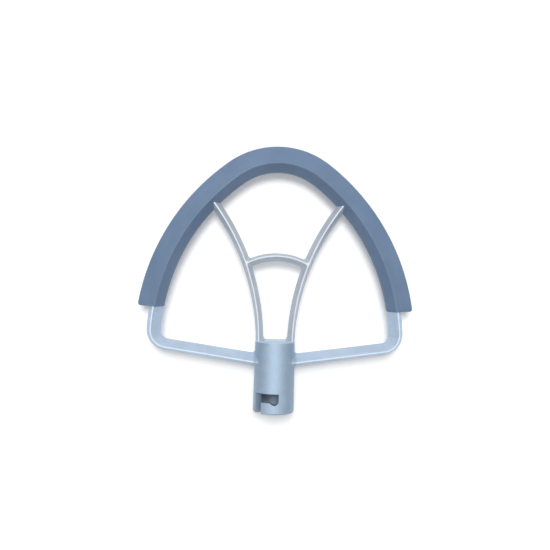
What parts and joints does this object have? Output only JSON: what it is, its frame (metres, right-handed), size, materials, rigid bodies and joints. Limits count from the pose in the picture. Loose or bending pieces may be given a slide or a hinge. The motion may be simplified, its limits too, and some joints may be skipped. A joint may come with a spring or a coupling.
{
  "type": "stand mixer flat beater",
  "caption": "Flat beater for a stand mixer: cast frame with curved ribs and a bayonet hub, and a soft scraping edge moulded round the arch.",
  "frame": {"origin": "centre of the hub's mouth, on the axis of the bore", "axes": "The beater lies on its back. +Y runs along the hub's axis from the mouth to the nose of the arch, +X is across the arch and +Z is out of the front, where the bayonet slot is."},
  "size_m": [0.1412, 0.1356, 0.021],
  "materials": {
    "cast_metal": "satin silver coat on a casting",
    "soft_edge": "matt slate blue silicone"
  },
  "bodies": {
    "root": {"beater_frame": "cast_metal", "flex_edge": "soft_edge"}
  },
  "joints": []
}
